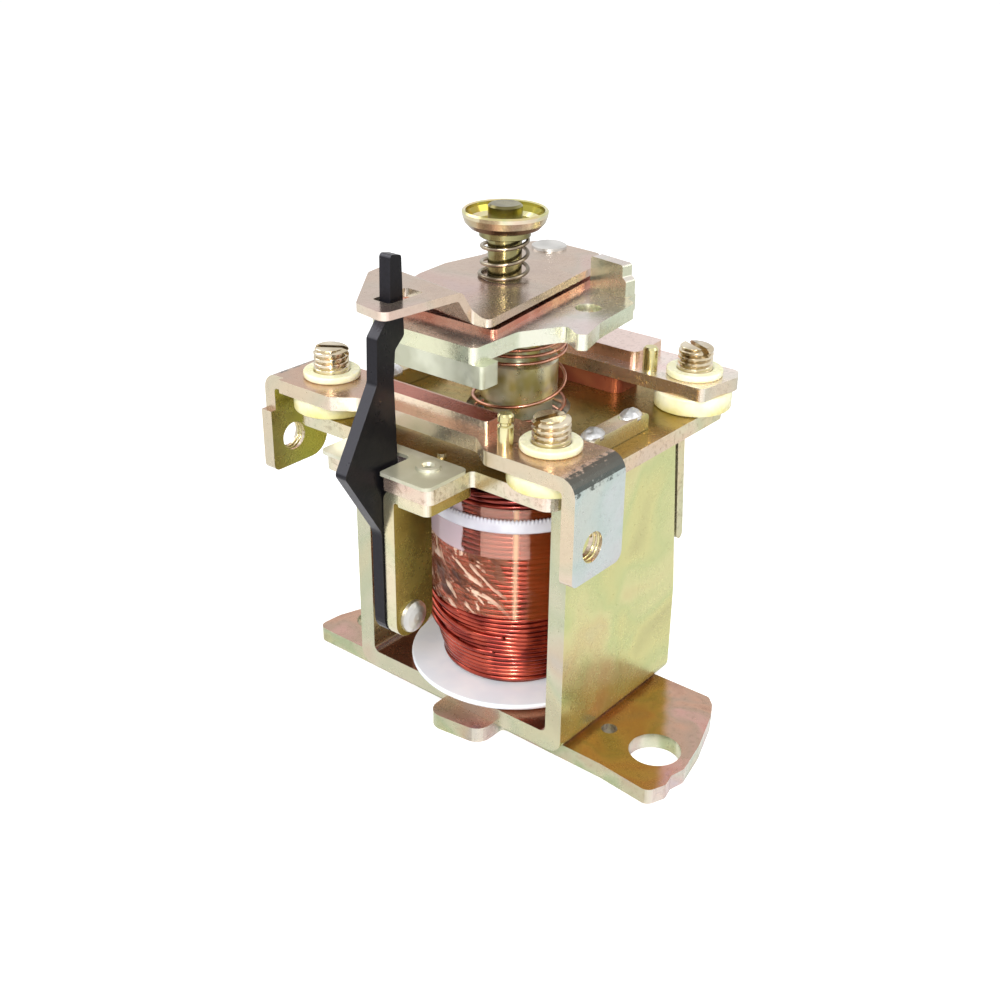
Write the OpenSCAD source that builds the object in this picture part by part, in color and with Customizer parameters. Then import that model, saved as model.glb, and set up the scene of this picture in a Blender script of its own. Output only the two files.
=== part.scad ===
/* [Frame] */
// Width of the yoke over its two walls
yoke_w = 39.3;
// Depth of the yoke walls, front to back
yoke_d = 28.3;
// Thickness of the yoke sheet
yoke_t = 2.75;
// Thickness of the base plate
base_t = 2.4; // [2:0.1:2.8]
// Height of the underside of the top plate
top_z = 45.15;
// Thickness of the top plate
top_t = 2.25;
// Thickness of the slot plate on the nose
slot_plate_t = 0.5; // [0.3:0.1:0.6]
// Radius of the large mounting hole in the right ear
ear_hole_r = 3.8; // [3:0.1:4]
// Radius of the mounting hole in the left ear
left_hole_r = 3.0; // [2:0.1:3.2]

/* [Coil] */
// Outer radius of the winding
coil_r = 12.8;
// How far the lowest turns of the winding draw in
coil_draw = 1.8; // [0:0.1:2]
// Diameter of one turn of wire
wire_d = 0.95; // [0.8:0.05:1]
// Turns in the outer layer
coil_turns = 23; // [12:1:23]
// Radius of the lower bobbin flange
flange_r = 16.0; // [14:0.2:16]

/* [Terminals] */
// Thickness of the two terminal strips
strip_t = 2.0;
// Height of the nylon spacers
spacer_h = 2.6;
// Radius of the nylon spacers
spacer_r = 5.6; // [4.5:0.1:5.8]
// Radius of the nylon washers
washer_r = 4.05; // [3.6:0.05:4.6]
// Radius of the threaded studs
stud_r = 2.5;
// Radius of the tapped hole in each lug
lug_hole_r = 2.1; // [1.5:0.1:2.5]

/* [Armature] */
// Gap between the moving and the fixed contacts at rest
contact_gap = 4.25; // [4.25:0.05:5]
// Thickness of the bridge plate
bridge_t = 2.2;
// Thickness of the latch plate
latch_t = 1.1;
// Radius of the plunger in the coil
plunger_r = 4.9; // [4:0.1:5]
// Radius of the collar on the plunger
collar_r = 5.6; // [4.8:0.1:5.7]

/* [Button] */
// Radius of the dished cup
cup_r = 5.97; // [5:0.01:6.2]
// Radius of the stem
stem_r = 2.4;
// Height of the stem's end
stem_top = 75.8; // [75.2:0.1:77]

/* [Springs] */
// Wire diameter of the return spring
return_wire = 0.36;
// Turns of the return spring
return_turns = 5; // [4:1:6]
// Wire diameter of the button spring
button_wire = 0.46;
// Turns of the button spring
button_turns = 3; // [2:1:3]

/* [Hidden] */
$fn = 96;

// The plunger, its spring and the winding share this axis
coil_x = 0.4;
coil_y = -0.6;
// The push button stands beside it
stem_x = -2.9;
stem_y = 0;

half_w = yoke_w / 2;
half_d = yoke_d / 2;
web_z = base_t + yoke_t;
top_face = top_z + top_t;
strip_z = top_face + spacer_h;
strip_top = strip_z + strip_t;
washer_t = 1;
bar_t = 1.75;
bar_top = strip_top + bar_t;
moving_z = bar_top + contact_gap;
moving_t = 3;
bridge_z = moving_z + moving_t;
shim_z = bridge_z + bridge_t;
shim_t = 0.7;
latch_z = shim_z + shim_t + 0.7;
latch_top = latch_z + latch_t;
tongue_rise = 3.7;
collar_seat = latch_top + 5.6;
// The folds of the moving plates are skewed by this angle
fold_angle = -9.6;
collar_t = 0.9;
cup_z = collar_seat + collar_t;

flange_t = 1.15;
flange_top = 44.6;
upper_flange_t = 1.4;
upper_flange_r = 15.4;
bobbin_wall = 8.4;
bobbin_bore = 5.3;
core_r = coil_r - wire_d - 0.15;

lever_x = -0.5;
lever_t = 1.8;
lever_pivot = [-26.7, 25.2];
pivot_r = 1.4;

// Left and right stud of the front row, then of the rear row
stud_at = [[-19.4, -18.1], [19.4, -18.1], [-19.3, 16], [19.3, 16]];
sleeve_r = 3.2;
stud_top = 56.3;
rivet_at = [-7, 15.7];
rivet_r = 1.5;
front_pin_at = [14.8, -21.5];
rear_pin_at = [13.7, 12.9];

// Outline helpers: each point is x, y and the radius that rounds it
function unit(v) = v / norm(v);
function turn(from, to) = (to - from + 900) % 360 - 180;
function corner(before, at, after, r, n = 6) =
    let (
        a = unit(before - at),
        b = unit(after - at),
        half = acos(a * b) / 2,
        centre = at + unit(a + b) * r / sin(half),
        start = at + a * r / tan(half) - centre,
        stop = at + b * r / tan(half) - centre,
        first = atan2(start.y, start.x),
        sweep = turn(first, atan2(stop.y, stop.x))
    )
    [for (i = [0 : n]) centre + r * [cos(first + sweep * i / n), sin(first + sweep * i / n)]];
function flat(p) = [p[0], p[1]];
function rounded(points) =
    let (n = len(points))
    [for (i = [0 : n - 1])
        each points[i][2] == 0
            ? [flat(points[i])]
            : corner(flat(points[(i + n - 1) % n]), flat(points[i]),
                flat(points[(i + 1) % n]), points[i][2])];

// A sheet that lies flat
module plate(z, t, points) {
    translate([0, 0, z])
        linear_extrude(t)
            polygon(rounded(points));
}

// A sheet that faces sideways: the outline is in y and z
module side_sheet(x, t, points) {
    translate([x, 0, 0])
        rotate([90, 0, 90])
            linear_extrude(t)
                polygon(rounded(points));
}

// A bent sheet seen from the front: the outline is in x and z
module front_profile(y, depth, points) {
    translate([0, y + depth, 0])
        rotate([90, 0, 0])
            linear_extrude(depth)
                polygon(rounded(points));
}

module block(low, high) {
    translate(low)
        cube(high - low);
}

module post(at, r, z0, z1) {
    translate([at[0], at[1], z0])
        cylinder(r = r, h = z1 - z0);
}

module tube(at, outer, inner, z0, z1) {
    difference() {
        post(at, outer, z0, z1);
        post(at, inner, z0 - 1, z1 + 1);
    }
}

// A wound wire is a list of stations: angle, height, climb angle and radius.
// Each end stands square to the face it meets and bends into the turns.
function bend_r(wire) = 1.1 * wire;
function climb(r, rise) = atan(rise / (2 * PI * r));
function swing(r, along) = along / r * 180 / PI;
function wound(r, z0, z1, turns, wire, steps) =
    [for (s = stations(r, z0, z1, turns, wire, steps)) [s[0], s[1], s[2], r]];
function stations(r, z0, z1, turns, wire, steps) =
    let (
        bend = bend_r(wire),
        low = z0 + wire + bend,
        high = z1 - wire - bend,
        slope = climb(r, (high - low) / turns),
        a1 = swing(r, bend * (1 - sin(slope))),
        low_z = z0 + wire + bend * cos(slope),
        high_z = z1 - wire - bend * cos(slope),
        a2 = a1 + 360 * turns,
        bends = 3,
        count = turns * steps
    )
    concat(
        [[0, z0, 90]],
        [for (i = [0 : bends - 1])
            let (e = 90 + (slope - 90) * i / bends)
            [swing(r, bend * (1 - sin(e))), z0 + wire + bend * cos(e), e]],
        [for (i = [0 : count])
            [a1 + 360 * i / steps, low_z + (high_z - low_z) * i / count, slope]],
        [for (i = [1 : bends])
            let (e = slope + (90 - slope) * i / bends)
            [a2 + swing(r, bend * (sin(e) - sin(slope))),
                high_z + bend * (cos(slope) - cos(e)), e]],
        [[a2 + swing(r, bend * (1 - sin(slope))), z1, 90]]
    );
function spot(s) = [s[3] * cos(s[0]), s[3] * sin(s[0]), s[1]];
function least_gap(path, wire, steps) =
    min([for (i = [0 : len(path) - 1])
        for (j = [i + ceil(steps * 0.6) : min(len(path) - 1, i + ceil(steps * 1.4))])
            norm(spot(path[i]) - spot(path[j]))]) - wire;

module wire_form(path, wire) {
    sides = 6;
    points = [for (s = path)
        let (
            out = [cos(s[0]), sin(s[0]), 0],
            along = [-sin(s[0]) * cos(s[2]), cos(s[0]) * cos(s[2]), sin(s[2])],
            across = cross(along, out)
        )
        for (k = [0 : sides - 1])
            spot(s) + wire / 2 * (cos(360 * k / sides) * out + sin(360 * k / sides) * across)];
    last = (len(path) - 1) * sides;
    faces = concat(
        [[for (k = [0 : sides - 1]) k]],
        [for (i = [0 : len(path) - 2])
            for (k = [0 : sides - 1])
                let (
                    a = i * sides + k,
                    b = i * sides + (k + 1) % sides
                )
                each [[a, b + sides, b], [a, a + sides, b + sides]]],
        [[for (k = [sides - 1 : -1 : 0]) last + k]]
    );
    polyhedron(points, faces);
}

// Sheet with two ears, a front tab and the mounting holes
module base_plate() {
    color("#c9c28a")
        difference() {
            plate(0, base_t, [
                [-32.5, -11.6, 1.5], [-2.6, -11.8, 0.8], [-2.6, -18.3, 2.4],
                [7.3, -17.1, 2.4], [7.3, -11.8, 0.8], [25.4, -12, 4],
                [33.8, -12.9, 1.4], [35, -10, 1], [34.5, -7.8, 0.8],
                [35.1, -5.4, 2], [33.8, 0.8, 8], [31.4, 8, 3],
                [30, 10.8, 1], [28.5, 12.3, 1],
                [-22, 12.3, 4], [-30.9, -3.4, 6], [-32.1, -6.9, 4]
            ]);
            post([29.4, -4.2], ear_hole_r, -1, base_t + 1);
            post([21.4, -4.2], 1.2, -1, base_t + 1);
            post([-26.5, -4.2], left_hole_r, -1, base_t + 1);
        }
}

// Bent sheet with two walls that narrow at the rear, each with a tenon
module yoke() {
    inside = half_w - yoke_t;
    tenon_top = top_face + 2.5;
    color("#cdd08e")
        difference() {
            union() {
                intersection() {
                    front_profile(-half_d, yoke_d, [
                        [-half_w, base_t, 2.2], [half_w, base_t, 2.2],
                        [half_w, top_z, 0], [inside, top_z, 0],
                        [inside, web_z, 1], [-inside, web_z, 1],
                        [-inside, top_z, 0], [-half_w, top_z, 0]
                    ]);
                    side_sheet(-half_w - 1, yoke_w + 2, [
                        [-half_d, base_t, 0], [half_d, base_t, 0], [half_d, 18, 20],
                        [11.4, top_z, 0], [-half_d, top_z, 0]
                    ]);
                }
                for (x = [-half_w, inside])
                    side_sheet(x, yoke_t, [
                        [-9.2, top_z - 0.5, 0], [4, top_z - 0.5, 0],
                        [4, tenon_top, 0.8], [-9.2, tenon_top, 0.8]
                    ]);
            }
            post([coil_x, coil_y], 3.05, 0, web_z + 1);
            for (side = [-1, 1], y = [-7.4, 0.1])
                post([side * (half_w - yoke_t / 2), y], 0.9, tenon_top - 0.35, tenon_top + 1);
        }
}

// Sheet with a slotted nose, a wide bore for the spring and two legs bent down behind the walls
module top_plate() {
    leg_w = 5.2;
    color("#cfc890") {
        difference() {
            union() {
                plate(top_z, top_t, [
                    [-22.8, -22.2, 2], [-8.7, -22.2, 0.8], [-8.7, -30.4, 1.2],
                    [-0.9, -30.4, 0.3], [-0.9, -24.9, 0.9], [1.9, -24.9, 0.9],
                    [1.9, -30.4, 0.3], [9.9, -30.4, 1.2], [9.9, -22.2, 0.8],
                    [22.8, -22.2, 2], [22.8, 20, 2], [-22.8, 20, 2]
                ]);
                post([4, -21.3], 0.6, top_face - 0.5, top_face + 0.5);
                for (x = [-half_w, half_w - leg_w])
                    side_sheet(x, leg_w, [
                        [12.1, top_z + 0.5, 0], [13.9, top_z + 0.5, 0],
                        [15.5, 26.8, 1], [15, 25.6, 0.6], [13.9, 26.6, 0.6]
                    ]);
            }
            post([coil_x, coil_y], 7.5, top_z - 1, top_face + 1);
            for (at = stud_at)
                post(at, sleeve_r + 0.05, top_z - 0.01, top_face + 1);
            for (side = [-1, 1])
                translate([side * (half_w - yoke_t / 2), -2.6, top_z + 4])
                    cube([yoke_t + 0.2, 13.4, 8.02], center = true);
            post([5.8, -26], 1.1, top_z - 1, top_face + 1);
        }
    }
}

// Thin sheet that lies on the nose
module slot_plate() {
    color("#cfa27a")
        difference() {
            plate(top_face, slot_plate_t, [
                [-8.9, -31, 1], [-0.9, -31, 0.3], [-0.9, -24.9, 0.9],
                [1.9, -24.9, 0.9], [1.9, -31, 0.3], [10.1, -31, 1],
                [10.1, -23, 1], [-8.9, -23, 1]
            ]);
            post([5.8, -26], 1.1, top_face - 1, top_face + 2);
        }
}

// Eyelet through the slot plate, the nose and the bracket
module slot_rivet() {
    low = top_z - 1.65;
    high = top_face + slot_plate_t;
    color("#b9b48c")
        translate([5.8, -26, 0])
            rotate_extrude()
                polygon([
                    [0.6, low - 0.3], [1.6, low - 0.3], [1.7, low], [1.05, low],
                    [1.05, high], [1.7, high], [1.6, high + 0.4], [0.9, high + 0.4], [0.6, high]
                ]);
}

// Bent sheet under the nose that carries the lever
module lever_bracket() {
    low = top_z - 1.65;
    leg_x = lever_x + lever_t + 0.1;
    color("#b8ae72")
        difference() {
            union() {
                intersection() {
                    front_profile(-29.9, 7.3, [
                        [leg_x, 20, 0], [leg_x + 1.8, 20, 0],
                        [leg_x + 1.8, low, 0.4], [5, low, 0],
                        [5, top_z, 0], [leg_x, top_z, 1.9]
                    ]);
                    side_sheet(leg_x - 1, 8, [
                        [-29.9, 22.5, 2.6], [-22.6, 22.5, 2.6],
                        [-22.6, top_z, 0], [-29.9, top_z, 0]
                    ]);
                }
                plate(low, 1.65, [
                    [4.5, -30.4, 0], [9.6, -30.4, 1], [9.6, -21.4, 1], [4.5, -21.4, 0]
                ]);
            }
            translate([0, lever_pivot[0], lever_pivot[1]])
                rotate([0, 90, 0])
                    cylinder(r = pivot_r + 0.02, h = 10);
            post([5.8, -26], 1.1, low - 1, top_z + 1);
        }
}

// Domed rivet that the lever turns on
module lever_rivet() {
    leg_face = lever_x + lever_t + 0.1 + 1.8;
    tail = lever_x - 0.1;
    color("#b5b2a4")
        translate([0, lever_pivot[0], lever_pivot[1]])
            rotate([0, 90, 0])
                rotate_extrude()
                    polygon([
                        [0, tail - 0.6], [2.1, tail - 0.6], [2.1, tail], [pivot_r, tail],
                        [pivot_r, leg_face], [2.35, leg_face], [2.25, leg_face + 0.45],
                        [1.7, leg_face + 0.85], [0.9, leg_face + 1.05], [0, leg_face + 1.1]
                    ]);
}

// Black blade through both slots
module trip_lever() {
    color("#26262a")
        difference() {
            side_sheet(lever_x, lever_t, [
                [-27.3, 75.2, 0.5], [-27.5, 68, 0.8], [-30, 65.1, 0.8],
                [-30.2, 59.3, 1.5], [-36.4, 48.6, 0.8], [-30.2, 38.6, 2.5],
                [-30.2, 22.6, 2.8], [-23.8, 22.6, 2.8], [-24.4, 36, 4],
                [-26.8, 46, 3], [-27.2, 59.1, 2], [-26.8, 63, 0.8],
                [-25.1, 64.5, 0.8], [-25.2, 69.1, 1], [-25.3, 74.8, 0.4]
            ]);
            translate([lever_x - 1, lever_pivot[0], lever_pivot[1]])
                rotate([0, 90, 0])
                    cylinder(r = pivot_r + 0.06, h = lever_t + 2);
        }
}

// Spool with two flanges
module bobbin() {
    color("#f1eff0")
        translate([coil_x, coil_y, 0])
            rotate_extrude()
                polygon([
                    [bobbin_bore, web_z], [flange_r - 0.5, web_z], [flange_r, web_z + 0.5],
                    [flange_r, web_z + flange_t], [bobbin_wall, web_z + flange_t],
                    [bobbin_wall, flange_top - upper_flange_t],
                    [upper_flange_r, flange_top - upper_flange_t],
                    [upper_flange_r, flange_top], [bobbin_bore, flange_top]
                ]);
}

coil_low = web_z + flange_t;
coil_high = flange_top - upper_flange_t;
// The draw is full up to draw_z and fades over draw_h above it
draw_z = coil_low + 2.1 * wire_d;
draw_h = 8.5;
function drawn(z) = coil_draw * pow(min(1, max(0, 1 - (z - draw_z) / draw_h)), 1.5);

// Inner layers of wire as one ring
module coil_core() {
    steps = 6;
    color("#8f3b1f")
        translate([coil_x, coil_y, 0])
            rotate_extrude()
                polygon(concat(
                    [[bobbin_wall + 0.02, coil_low], [core_r - coil_draw, coil_low]],
                    [for (i = [0 : steps])
                        let (z = draw_z + draw_h * i / steps)
                        [core_r - drawn(z), z]],
                    [[core_r, coil_high], [bobbin_wall + 0.02, coil_high]]
                ));
}

// Outer layer of wire, one unbroken run
module coil_winding() {
    r = coil_r - wire_d / 2;
    even = wound(r, coil_low + 0.02, coil_high - 0.02, coil_turns, wire_d, 24);
    path = [for (s = even) [s[0], s[1], s[2], r - drawn(s[1])]];
    echo(str("coil_winding least gap ", least_gap(path, wire_d, 24)));
    color("#b5502c")
        translate([coil_x, coil_y, 0])
            wire_form(path, wire_d);
}

module coil_tape() {
    color("#d9cfae")
        tube([coil_x, coil_y], coil_r + 0.25, coil_r + 0.05, 18.7, 37);
}

module tie_band() {
    color("#f4f1ea")
        tube([coil_x, coil_y], coil_r + 0.8, coil_r + 0.3, 33.3, 35.5);
}

// Iron core with a neck through the web
module fixed_core() {
    color("#a9a69a")
        union() {
            post([coil_x, coil_y], bobbin_bore - 0.1, web_z, 24);
            post([coil_x, coil_y], 3, base_t + 0.05, web_z + 0.5);
        }
}

// Strip with a tapped lug bent down at each end
module front_strip() {
    lug = 27.8;
    low = 37.2;
    front = -24.3;
    rear = -13.6;
    color("#cdc9a8")
        difference() {
            intersection() {
                front_profile(front, rear - front, [
                    [-lug, low, 0], [-lug + 2, low, 0], [-lug + 2, strip_z, 0.5],
                    [lug - 2, strip_z, 0.5], [lug - 2, low, 0], [lug, low, 0],
                    [lug, strip_top, 2.4], [-lug, strip_top, 2.4]
                ]);
                for (side = [-1, 1])
                    side_sheet(side < 0 ? -lug - 1 : 0, lug + 1, [
                        [front, low, 1], [rear, low, side < 0 ? 3.2 : 1.4],
                        [rear, strip_top, 0], [front, strip_top, 0]
                    ]);
                plate(low - 1, 20, [
                    [-lug - 1, front, 0], [-13.7, front, 1.5], [-10.4, -21.8, 1.5],
                    [10.4, -21.8, 1.5], [13.7, front, 1.5], [lug + 1, front, 0],
                    [lug + 1, rear, 0], [-lug - 1, rear, 0]
                ]);
            }
            for (i = [0, 1])
                post(stud_at[i], sleeve_r + 0.05, strip_z - 1, strip_top + 1);
            for (side = [-1, 1])
                translate([side * (lug - 1), -20.2, 41.6])
                    rotate([0, 90, 0])
                        cylinder(r = lug_hole_r, h = 4, center = true);
            post(front_pin_at, 0.7, strip_z - 1, strip_top + 1);
            block([-lug - 1, front - 1, 46.6], [-lug + 4, front + 0.9, strip_top + 1]);
        }
}

// Flat strip with cut corners
module rear_strip() {
    color("#d2c696")
        difference() {
            plate(strip_z, strip_t, [
                [-23.6, 11.2, 1], [23.6, 11.2, 1], [24.8, 18.8, 1.5],
                [23.6, 21.2, 1.5], [-23.6, 21.2, 1.5], [-24.8, 18.8, 1.5]
            ]);
            for (i = [2, 3])
                post(stud_at[i], sleeve_r + 0.05, strip_z - 1, strip_top + 1);
            post(rear_pin_at, 0.7, strip_z - 1, strip_top + 1);
        }
}

// Block that the middle of the rear strip rests on
module rear_spacer() {
    color("#b9764a")
        plate(top_face, spacer_h, [
            [-9.2, 11.7, 1.5], [9.2, 11.7, 1.5], [9.2, 18, 1.5], [-9.2, 18, 1.5]
        ]);
}

module front_fixed_contact() {
    color("#c08a68")
        plate(strip_top, bar_t, [
            [-9.4, -20.3, 0.5], [10.9, -20.3, 0.5], [10.9, -17.2, 0.5], [-9.4, -17.2, 0.5]
        ]);
}

module rear_fixed_contact() {
    color("#c08a68")
        plate(strip_top, bar_t, [
            [-9, 13.6, 0.5], [10.9, 13.6, 1.3], [10.5, 21.1, 0.5], [-9, 21.1, 0.5]
        ]);
}

// Four insulating spacers, each with a sleeve through the top plate
module nylon_spacers() {
    color("#ece4c4")
        for (at = stud_at)
            difference() {
                union() {
                    post(at, spacer_r, top_face, strip_z);
                    post(at, sleeve_r, top_z + 0.1, top_face + 0.5);
                }
                post(at, stud_r + 0.05, top_z - 1, strip_z + 1);
            }
}

// Four washers, each with a sleeve through the strip
module nylon_washers() {
    color("#f0e9cc")
        for (at = stud_at)
            difference() {
                union() {
                    post(at, washer_r, strip_top, strip_top + washer_t);
                    post(at, sleeve_r, strip_z + 0.1, strip_top + 0.5);
                }
                post(at, stud_r + 0.05, strip_z - 1, strip_top + 2);
            }
}

// Threaded studs with a slot across the end
module terminal_studs() {
    pitch = 0.8;
    thread_z = strip_top + washer_t + 0.2;
    thread_turns = 3;
    color("#d8b878")
        for (i = [0 : 3])
            translate([stud_at[i][0], stud_at[i][1], 0])
                difference() {
                    rotate_extrude()
                        polygon(concat(
                            [[0, top_z + 0.1], [stud_r, top_z + 0.1]],
                            [for (k = [0 : thread_turns - 1])
                                each [[stud_r, thread_z + k * pitch],
                                    [stud_r - 0.45, thread_z + (k + 0.5) * pitch]]],
                            [[stud_r, thread_z + thread_turns * pitch],
                                [stud_r - 0.1, stud_top - 0.35],
                                [stud_r - 0.45, stud_top], [0, stud_top]]
                        ));
                    translate([0, 0, stud_top])
                        rotate([0, 0, 35 + 40 * i])
                            cube([8, 0.9, 2.2], center = true);
                }
}

// Brass pin riveted to the front strip
module front_pin() {
    color("#cfa845")
        translate([front_pin_at[0], front_pin_at[1], 0])
            rotate_extrude()
                polygon([
                    [0, strip_z + 0.1], [0.65, strip_z + 0.1], [0.65, strip_top],
                    [1.05, strip_top], [1.05, 54.8], [0.8, 55], [0.8, 55.3],
                    [1.05, 55.5], [1.05, 56.2], [0.8, 56.5], [0, 56.5]
                ]);
}

// Short brass pin riveted to the rear strip
module rear_pin() {
    color("#cfa845")
        translate([rear_pin_at[0], rear_pin_at[1], 0])
            rotate_extrude()
                polygon([
                    [0, strip_z + 0.1], [0.65, strip_z + 0.1], [0.65, strip_top],
                    [1.1, strip_top], [1.1, 55.3], [0.85, 55.6], [0, 55.6]
                ]);
}

// Iron plunger with a collar and a flange under the bridge plate
module plunger() {
    collar_z = bar_top - 4.65;
    color("#b6ae86")
        translate([coil_x, coil_y, 0])
            rotate_extrude()
                polygon([
                    [0, 29], [plunger_r - 0.5, 29], [plunger_r, 29.5], [plunger_r, collar_z],
                    [collar_r - 0.3, collar_z], [collar_r, collar_z + 0.3],
                    [collar_r, collar_z + 5.6], [collar_r - 0.3, collar_z + 5.9],
                    [3, collar_z + 5.9], [3, bridge_z - 1], [collar_r, bridge_z - 1],
                    [collar_r, bridge_z], [0, bridge_z]
                ]);
}

// Main moving plate, with a pierced lug and a stepped wall bent up at the rear right
module bridge_plate() {
    color("#ccca9c")
        difference() {
            union() {
                plate(bridge_z, bridge_t, [
                    [-9.2, -20.6, 1], [9, -20.6, 1], [9, -12, 2], [11.6, -7.4, 1],
                    [12.4, -5.9, 0.8], [15.3, -7.7, 0.6], [16.5, -7.1, 0.6],
                    [15, -2.1, 2], [14.7, 0, 2], [13.7, 8, 0.8], [11.9, 9, 0.4],
                    [11.6, 11.6, 0.6], [4.5, 13, 1], [4.5, 18.6, 1], [-10, 18.6, 1],
                    [-11.5, 6, 3],
                    [-12, -8, 3], [-9.2, -13, 2]
                ]);
                translate([10.7, 9.1, 0])
                    rotate([0, 0, fold_angle])
                        front_profile(0, 1.9, [
                            [-6.2, shim_z - 0.5, 0], [0.75, shim_z - 0.5, 0],
                            [0.75, shim_z + 2.3, 0.4], [0, shim_z + 2.8, 0.3],
                            [0, shim_z + 4.5, 0.4], [-6.2, shim_z + 4.5, 0.4]
                        ]);
            }
            post([10.1, 2.1], 1.85, bridge_z - 1, shim_z + 1);
            post([stem_x, stem_y], 3.3, bridge_z - 1, shim_z + 1);
            post(rivet_at, rivet_r + 0.02, bridge_z - 1, shim_z + 1);
        }
}

module front_moving_contact() {
    color("#bfa088")
        plate(moving_z, moving_t, [
            [-9.4, -20.6, 0.6], [10.3, -20.6, 0.6], [10.3, -17.2, 0.6], [-9.4, -17.2, 0.6]
        ]);
}

module rear_moving_contact() {
    color("#bfa088")
        difference() {
            plate(moving_z, moving_t, [
                [-9, 15.2, 0.6], [4, 15.2, 0.6], [4, 18.6, 0.6], [-9, 18.6, 0.6]
            ]);
            post(rivet_at, rivet_r + 0.02, moving_z + 1, moving_z + moving_t + 1);
        }
}

// Thin sheet on the bridge plate
module shim_plate() {
    color("#b98766")
        difference() {
            plate(shim_z, shim_t, [
                [-11.4, -15.2, 0.8], [7.8, -15.2, 0.8], [2.9, 17.9, 1],
                [-10, 17.9, 2], [-11.4, 5, 3]
            ]);
            post([stem_x, stem_y], 3.3, shim_z - 1, shim_z + 2);
            post(rivet_at, rivet_r + 0.02, shim_z - 1, shim_z + 2);
        }
}

// Sheet stepped up along a skewed fold to a slotted tongue
module latch_plate() {
    up = latch_top + tongue_rise;
    color("#cfc48c")
        difference() {
            intersection() {
                plate(latch_z - 1, 8, [
                    [-1.5, -30.6, 1.2], [3.9, -31.5, 1.2], [5.4, -18.8, 0.4],
                    [5.6, -17, 0.4], [8, -16.4, 0.8], [3.6, 14.4, 3], [0.5, 17.9, 1.5],
                    [-6.4, 18.4, 3], [-11.1, 17.3, 2], [-12, 5.6, 4], [-13.1, -0.9, 3],
                    [-12.5, -6.9, 3], [-9.9, -15.6, 1.5], [-9.8, -18.1, 1],
                    [-9.5, -20.2, 2], [-3.2, -28.4, 2]
                ]);
                translate([0.4, -17.95, 0])
                    rotate([0, 0, fold_angle])
                        side_sheet(-40, 80, [
                            [-40, up - latch_t, 0], [-0.6, up - latch_t, 0.6],
                            [1.8, latch_z, 1.2], [60, latch_z, 0],
                            [60, latch_top, 0], [2.4, latch_top, 0.6], [0, up, 1.2], [-40, up, 0]
                        ]);
            }
            plate(up - 4, 8, [
                [-1.1, -28.2, 0.5], [1.9, -28.2, 0.5], [1.9, -22, 0.5], [-1.1, -22, 0.5]
            ]);
            post([stem_x, stem_y], stem_r + 0.05, latch_z - 1, latch_top + 1);
            post(rivet_at, rivet_r + 0.02, latch_z - 1, latch_top + 1);
        }
}

// Shouldered rivet that holds the moving stack
module latch_rivet() {
    color("#b9b6ae")
        translate([rivet_at[0], rivet_at[1], 0])
            rotate_extrude()
                polygon([
                    [0, moving_z + 1.1], [rivet_r, moving_z + 1.1],
                    [rivet_r, shim_z + shim_t], [2.2, shim_z + shim_t], [2.2, latch_z],
                    [rivet_r, latch_z], [rivet_r, latch_top], [2.65, latch_top],
                    [2.6, latch_top + 0.35], [2.2, latch_top + 0.55], [0, latch_top + 0.6]
                ]);
}

module return_spring() {
    r = 6.67;
    path = wound(r, flange_top, bridge_z, return_turns, return_wire, 8);
    echo(str("return_spring least gap ", least_gap(path, return_wire, 8)));
    color("#b87848")
        translate([coil_x, coil_y, 0])
            wire_form(path, return_wire);
}

// Stem of the push button with its stop ring
module stem() {
    color("#c9b46a")
        translate([stem_x, stem_y, 0])
            rotate_extrude()
                polygon([
                    [0, 63.3], [3, 63.3], [3, latch_z - 0.1], [stem_r, latch_z - 0.1],
                    [stem_r, stem_top - 0.3], [stem_r - 0.3, stem_top], [0, stem_top]
                ]);
}

module cup() {
    color("#cdbb62")
        translate([stem_x, stem_y, cup_z])
            rotate_extrude()
                polygon([
                    [stem_r + 0.01, 0], [3.8, 0], [4.9, 0.4], [5.6, 1.15], [cup_r - 0.05, 2.1],
                    [cup_r, 2.6], [cup_r - 0.25, 2.85], [cup_r - 0.5, 2.7], [cup_r - 0.6, 2.3],
                    [5, 1.5], [4.3, 1], [3.4, 0.8], [stem_r + 0.01, 0.8]
                ]);
}

module stem_collar() {
    color("#a89850")
        translate([stem_x, stem_y, collar_seat])
            rotate_extrude()
                polygon([
                    [stem_r + 0.01, 0], [3.4, 0], [3.6, 0.15], [3.6, collar_t],
                    [stem_r + 0.01, collar_t]
                ]);
}

module button_spring() {
    r = 3.2;
    path = wound(r, latch_top, collar_seat, button_turns, button_wire, 8);
    echo(str("button_spring least gap ", least_gap(path, button_wire, 8)));
    color("#6e6a5a")
        translate([stem_x, stem_y, 0])
            wire_form(path, button_wire);
}

base_plate();
yoke();
top_plate();
slot_plate();
slot_rivet();
lever_bracket();
lever_rivet();
trip_lever();
bobbin();
coil_core();
coil_winding();
coil_tape();
tie_band();
fixed_core();
front_strip();
rear_strip();
rear_spacer();
front_fixed_contact();
rear_fixed_contact();
nylon_spacers();
nylon_washers();
terminal_studs();
front_pin();
rear_pin();
plunger();
bridge_plate();
front_moving_contact();
rear_moving_contact();
shim_plate();
latch_plate();
latch_rivet();
return_spring();
stem();
cup();
stem_collar();
button_spring();
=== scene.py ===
# %% [markdown]
# # Trip relay
# A small open relay: a copper coil stands in a bent steel yoke, a plunger in the coil
# pulls a stack of contact plates down, a push button sits on top and a black lever
# stands through a slot at the front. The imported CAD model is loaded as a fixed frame.
# This lesson gives each of its parts a finish, and makes finer versions of the wound
# and threaded parts in mesh code.

# %% Load the frame
import math

import bmesh
import bpy
import numpy as np
from mathutils import Euler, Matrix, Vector, noise


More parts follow.
